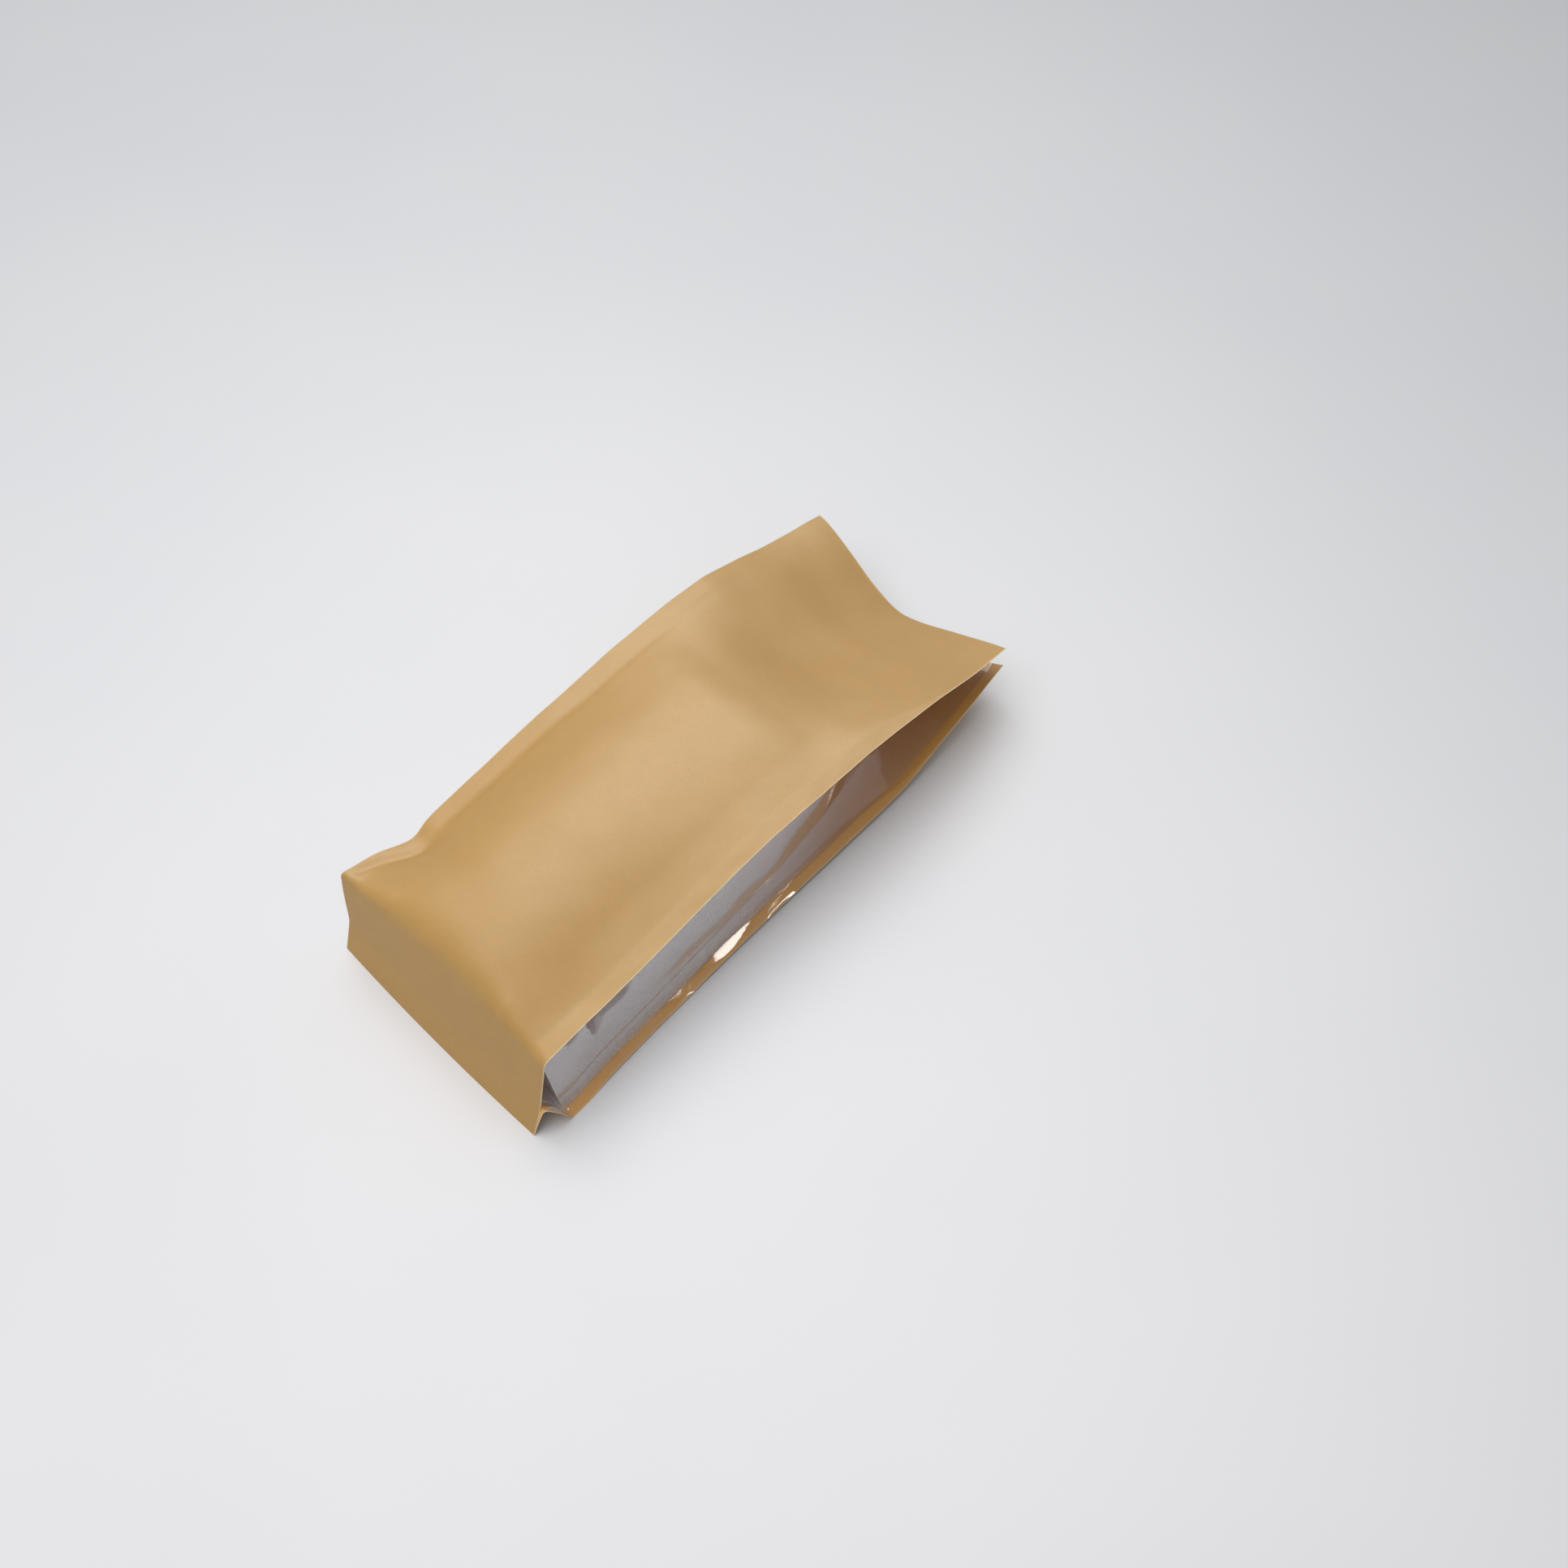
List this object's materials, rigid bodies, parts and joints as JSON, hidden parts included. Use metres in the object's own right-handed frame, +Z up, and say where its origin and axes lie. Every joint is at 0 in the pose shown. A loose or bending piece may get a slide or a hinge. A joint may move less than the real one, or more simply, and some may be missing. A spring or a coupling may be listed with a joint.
{
  "type": "gusseted kraft bag",
  "caption": "Empty side-gusset kraft coffee bag lying on its back, mouth open, with clear film gussets and a flat sealed bottom fin.",
  "frame": {"origin": "under the middle of the bag's bounding box, on the surface it lies on", "axes": "+Y along the bag from its sealed bottom to its open mouth, +X across it, +Z up out of the front panel"},
  "size_m": [0.1486, 0.3448, 0.0802],
  "materials": {
    "kraft": "matt natural kraft paper outside, satin sealing layer inside",
    "film": "clear glossy film with crumples"
  },
  "bodies": {
    "root": {"front_panel": "kraft", "back_panel": "kraft", "gusset_left": "film", "gusset_right": "film"}
  },
  "joints": []
}
